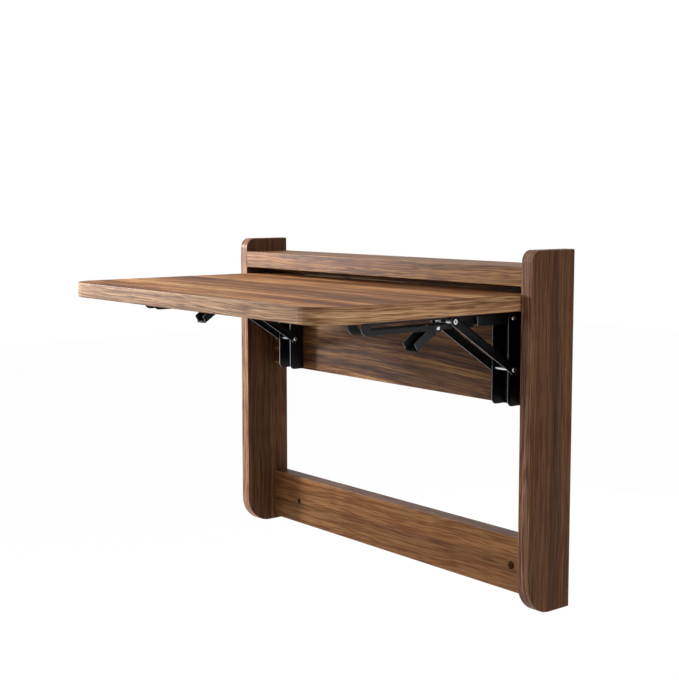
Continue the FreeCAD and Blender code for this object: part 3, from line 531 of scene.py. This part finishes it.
# %% [markdown]
# ## Rounding the sheet's edges
#
# A sharp modelled edge has no width to catch light, while a real one is worn round by the tool and
# the paint. A shader's bevel could fake it, but then the exported mesh would stay sharp. So each
# sheet part gets a copy with edges rounded by a fraction of a millimetre. First its seams are
# welded and its flat triangles joined, because rounding needs whole faces.

# %% Rounded steel
SHEET_EDGE = 2.2 * MM
SHEET_LEAN = 0.3
EDGE_ROUND = 0.3 * MM
SEAM_WIDTH = 0.002 * MM
FLAT_TURN = math.radians(1)
SHARP_TURN = math.radians(35)


def sheared(face):
    """Tell whether a face is the thickness of the sheet, left by the blanking tool."""
    sides = [corner.co.x for corner in face.verts]
    return max(sides) - min(sides) < SHEET_EDGE and abs(face.normal.x) < SHEET_LEAN


def rounded_copy(node, body, flat, edge, width, edge_test=sheared):
    """Copy a steel part, round its edges and give some faces their own finish."""
    steel = bmesh.new()
    steel.from_mesh(nodes[node].data)
    bmesh.ops.remove_doubles(steel, verts=steel.verts, dist=SEAM_WIDTH)
    bmesh.ops.dissolve_limit(steel, angle_limit=FLAT_TURN, verts=steel.verts,
                             edges=steel.edges)
    for face in steel.faces:
        face.material_index = 1 if edge_test(face) else 0
    mesh = bpy.data.meshes.new(node + "_rounded")
    steel.to_mesh(mesh)
    steel.free()
    part = bpy.data.objects.new(node + "_rounded", mesh)
    bpy.context.scene.collection.objects.link(part)
    mesh.materials.append(flat)
    mesh.materials.append(edge)
    rounding = part.modifiers.new("rounding", "BEVEL")
    rounding.width = width
    rounding.segments = 2
    rounding.limit_method = "ANGLE"
    rounding.angle_limit = SHARP_TURN
    graph = bpy.context.evaluated_depsgraph_get()
    part.data = bpy.data.meshes.new_from_object(part.evaluated_get(graph))
    part.modifiers.clear()
    part.data.shade_smooth()
    part.data.set_sharp_from_angle(angle=SHARP_TURN)
    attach(part, body)
    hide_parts(node)
    return part


for side in ("left", "right"):
    bodies = {"wall_plate": "root", "support_arm": "table", "brace_inner_bar": side + "_brace",
              "brace_outer_bar": side + "_brace", "release_lever": side + "_lever"}
    for ending, body in bodies.items():
        # Arms and levers take the paler paint copy as painted light
        flat = lit_slate_paint if ending in ("support_arm", "release_lever") else flat_paint
        part = rounded_copy(side + "_" + ending, body, flat, edge_paint_and_highlight, EDGE_ROUND)
        print(part.name, len(part.data.polygons), "faces")

# %% [markdown]
# ## Bright rivets and pins
#
# Rivets and pins are turned from steel and zinc plated. Turning leaves fine rings, and plating
# softens them to a bright grey gleam. The rings could be cut into the mesh, but they are finer
# than a pixel, so a fine noise roughens the surface instead. The sliding pin's shank is painted
# dark all along but for its ends, as painted shade where it runs hidden between the flanges.

# %% Bright plated steel
RING_SPACING = 0.35 * MM
RING_DEPTH = 0.03 * MM
RING_BUMP = 0.15
GLEAM_SPREAD = 0.14
# The sliding pin's shank is dark in its middle as painted shade, and bright at its ends
SHANK_ROUGHNESS = 0.4
SHADE_ENDS, LIT_STARTS = 0.14, 0.2


def plated(name, colour, roughness):
    """Make a bare metal with the fine rings of a lathe under its plating."""
    material, tree, surface = new_material(name, colour, roughness, 1.0)
    place = add(tree, "ShaderNodeTexCoord")

    # Real rings lie under a tenth of a millimetre apart, and these are coarser so that they show
    rings = add(tree, "ShaderNodeTexNoise", {"Scale": 1 / RING_SPACING, "Detail": 2},
                {"Vector": place.outputs["Object"]})
    gleam = add(tree, "ShaderNodeMath",
                {"operation": "MULTIPLY_ADD", 1: GLEAM_SPREAD,
                 2: roughness - GLEAM_SPREAD / 2},
                {0: rings.outputs[0]})
    tree.links.new(gleam.outputs[0], surface.inputs["Roughness"])
    relief = add(tree, "ShaderNodeBump", {"Strength": RING_BUMP, "Distance": RING_DEPTH},
                 {"Height": rings.outputs[0]})
    tree.links.new(relief.outputs[0], surface.inputs["Normal"])
    return material


def shaded_shank(name, bright_colour, shade_colour):
    """Make a plated shank painted dark all along as painted shade, but for its bright ends."""
    material = plated(name, bright_colour, SHANK_ROUGHNESS)
    tree = material.node_tree
    place = add(tree, "ShaderNodeTexCoord")
    spot = add(tree, "ShaderNodeSeparateXYZ", (), {0: place.outputs["Generated"]})
    off_middle = add(tree, "ShaderNodeMath", {"operation": "SUBTRACT", 1: 0.5},
                     {0: spot.outputs["X"]})
    off = add(tree, "ShaderNodeMath", {"operation": "ABSOLUTE"}, {0: off_middle.outputs[0]})
    lit_ends = add(tree, "ShaderNodeMapRange",
                 {"interpolation_type": "SMOOTHSTEP", "From Min": SHADE_ENDS,
                  "From Max": LIT_STARTS},
                 {"Value": off.outputs[0]})
    shade = add(tree, "ShaderNodeMix", {"data_type": "RGBA", 6: linear(shade_colour), 7: linear(bright_colour)},
                {0: lit_ends.outputs[0]})
    tree.links.new(shade.outputs[2], tree.nodes["Principled BSDF"].inputs["Base Color"])
    return material


bright_plate = plated("zinc_plated_turned_steel", "#D8D9DB", 0.24)
shaded_shank_plate = shaded_shank("zinc_plated_shank_with_painted_shade", "#D8D9DB", "#242426")
spring_wire = plated("blackened_spring_steel_wire", "#3A3B3E", 0.35)
zinc_cast = plated("die_cast_zinc", "#B4B6B8", 0.4)
black_plate = plated("black_zinc_plated_screw", "#2C2D30", 0.4)
print("plated finishes", bright_plate.name, shaded_shank_plate.name, spring_wire.name, zinc_cast.name,
      black_plate.name)

# %% Rivets and pins
SHANK_LENGTH = 10 * MM
RIVET_ROUND = 0.2 * MM


def shank(face):
    """Tell whether a face is the long smooth shank that runs between the heads."""
    sides = [corner.co.x for corner in face.verts]
    return max(sides) - min(sides) > SHANK_LENGTH


for side in ("left", "right"):
    bodies = {"arm_pivot_rivet": "root", "brace_pivot_rivet": "root",
              "slide_pin": side + "_pin", "brace_studs": side + "_brace",
              "lever_rivet": "table"}
    for ending, body in bodies.items():
        # The sliding pin's shank takes the painted shade between its bright ends
        shank_plate = shaded_shank_plate if ending == "slide_pin" else bright_plate
        part = rounded_copy(side + "_" + ending, body, bright_plate, shank_plate, RIVET_ROUND,
                            shank)
        print(part.name, len(part.data.polygons), "faces")

# %% [markdown]
# ## Parts that keep their shape
#
# Screws, springs, dowels and cam fittings are right as they come from the construction model.
# They could be copied and rounded too, but they are small and mostly hidden. They only need their
# finish, which goes into the slots of the model's own objects.

# %% Small fixings
FLECK_LENGTH = 6 * MM
FLECK_WIDTH = 0.8 * MM

# Beech is pale with short dark flecks along the grain, drawn about twice their real size
beech, beech_tree, beech_surface = new_material("turned_beech_dowel", "#C79F73", 0.7)
beech_place = add(beech_tree, "ShaderNodeTexCoord")
fleck_place = add(beech_tree, "ShaderNodeVectorMath",
                  {"operation": "DIVIDE", 1: (FLECK_LENGTH, FLECK_WIDTH, FLECK_WIDTH)},
                  {0: beech_place.outputs["Object"]})
fleck = add(beech_tree, "ShaderNodeTexNoise", {"Scale": 1, "Detail": 2},
            {"Vector": fleck_place.outputs[0]})
fleck_ramp = add(beech_tree, "ShaderNodeValToRGB", (), {0: fleck.outputs[0]})
fleck_ramp.color_ramp.elements[0].color = linear("#A87E54")
fleck_ramp.color_ramp.elements[1].color = linear("#DDBB90")
beech_tree.links.new(fleck_ramp.outputs[0], beech_surface.inputs["Base Color"])

FIXINGS = {
    "frame_dowels": beech,
    "cam_bolts": zinc_cast,
    "cam_discs": zinc_cast,
    "left_lever_spring": spring_wire,
    "right_lever_spring": spring_wire,
    "left_plate_screws": black_plate,
    "right_plate_screws": black_plate,
    "left_arm_screws": black_plate,
    "right_arm_screws": black_plate,
}
for node, finish in FIXINGS.items():
    mesh = nodes[node].data
    if not mesh.materials:
        mesh.materials.append(finish)
    for place in range(len(mesh.materials)):
        mesh.materials[place] = finish
    print(node, finish.name)

# %% [markdown]
# ## Floor and background
#
# The table hangs in front of plain white. The floor lies three quarters of a metre below the
# tabletop. It could be lit until it turns white, but that light would bleach the wood as well. So
# it is white by itself, only where the camera, a mirror or glass sees it, and keeps a trace of
# shadow.

# %% Floor
FLOOR_LEVEL = -780 * MM
FLOOR_REACH = 6000 * MM
BACKGROUND_SHARE = 0.985


def seen_directly(tree):
    """Give 1 where the camera, a mirror or glass sees a thing, and 0 where only light meets it."""
    ray = add(tree, "ShaderNodeLightPath")
    mirrored = add(tree, "ShaderNodeMath", {"operation": "MAXIMUM"},
                   {0: ray.outputs["Is Camera Ray"], 1: ray.outputs["Is Glossy Ray"]})
    seen = add(tree, "ShaderNodeMath", {"operation": "MAXIMUM"},
               {0: mirrored.outputs[0], 1: ray.outputs["Is Transmission Ray"]})
    return seen.outputs[0]


floor_mesh = bpy.data.meshes.new("studio_floor")
floor_corners = [(across * FLOOR_REACH, away * FLOOR_REACH, FLOOR_LEVEL)
                 for across, away in ((-1, -1), (1, -1), (1, 1), (-1, 1))]
floor_mesh.from_pydata(floor_corners, [], [(0, 1, 2, 3)])
floor = bpy.data.objects.new("studio_floor", floor_mesh)
bpy.context.scene.collection.objects.link(floor)

floor_finish, floor_tree, floor_surface = new_material("white_painted_floor", "#F2F2F2", 0.9)
floor_mesh.materials.append(floor_finish)
white_share = add(floor_tree, "ShaderNodeMath",
                  {"operation": "MULTIPLY", 1: BACKGROUND_SHARE}, {0: seen_directly(floor_tree)})
plain_white = add(floor_tree, "ShaderNodeEmission", {"Color": linear("#FFFFFF"), "Strength": 1})
floor_mix = add(floor_tree, "ShaderNodeMixShader", (),
                {0: white_share.outputs[0], 1: floor_surface.outputs[0],
                 2: plain_white.outputs[0]})
floor_tree.links.new(floor_mix.outputs[0], floor_tree.nodes["Material Output"].inputs[0])
print("floor at", FLOOR_LEVEL)

# %% [markdown]
# ## Light from all round
#
# The walls of a studio send a little light back from every side. More lamps could do that, but the
# world does it evenly. It is dim for the table and full white for the camera, as the floor is.

# %% World
AMBIENT = 0.12

world = bpy.data.worlds.new("white_studio")
bpy.context.scene.world = world
world.use_nodes = True
sky = world.node_tree
sky.nodes.clear()
dim = add(sky, "ShaderNodeBackground", {"Color": linear("#FFFFFF"), "Strength": AMBIENT})
full = add(sky, "ShaderNodeBackground", {"Color": linear("#FFFFFF"), "Strength": 1})
sky_mix = add(sky, "ShaderNodeMixShader", (),
              {0: seen_directly(sky), 1: dim.outputs[0], 2: full.outputs[0]})
add(sky, "ShaderNodeOutputWorld", (), {0: sky_mix.outputs[0]})
bpy.context.scene.view_settings.view_transform = "Standard"
print("ambient share", AMBIENT)

# %% [markdown]
# ## Studio lamps
#
# Four lamps light the table. A small one hangs low on the left, and it could be made wide for
# softness, but the photo's left upright throws a sharp shadow on the boards beside it, and only a
# small lamp does that. A wide lamp overhead brings out the tabletop, and a weak one on the right
# keeps the sides that face it from going black. The one behind lights the side that goes against
# the wall. It hangs below the bottom rail's top, so that the rail's upper edge stays dark.

# %% Lamps
def soft_lamp(name, place, aim, width, watts):
    """Hang a square area lamp at a place and point it."""
    data = bpy.data.lights.new(name, "AREA")
    data.shape = "SQUARE"
    data.size = width
    data.energy = watts
    lamp = bpy.data.objects.new(name, data)
    bpy.context.scene.collection.objects.link(lamp)
    way = Vector(aim) - Vector(place)
    lamp.matrix_world = (Matrix.Translation(Vector(place))
                         @ way.to_track_quat("-Z", "Y").to_matrix().to_4x4())
    return lamp


# Each lamp has its place, the point it looks at and its width, all in metres, and its watts
LAMPS = {
    "side_lamp": ((-1.48, -0.95, 0.3), (-0.05, -0.15, -0.1), 0.26, 45),
    "overhead_lamp": ((-0.6, -0.7, 1.3), (0, -0.2, 0), 0.8, 15),
    "fill_lamp": ((2.2, -0.4, 0.5), (0, -0.1, -0.1), 1.0, 20),
    "back_lamp": ((-0.9, 2.0, -0.42), (0, 0, -0.17), 0.5, 32),
}
for name, plan in LAMPS.items():
    lamp = soft_lamp(name, *plan)
    print(lamp.name, lamp.data.energy, "watts")
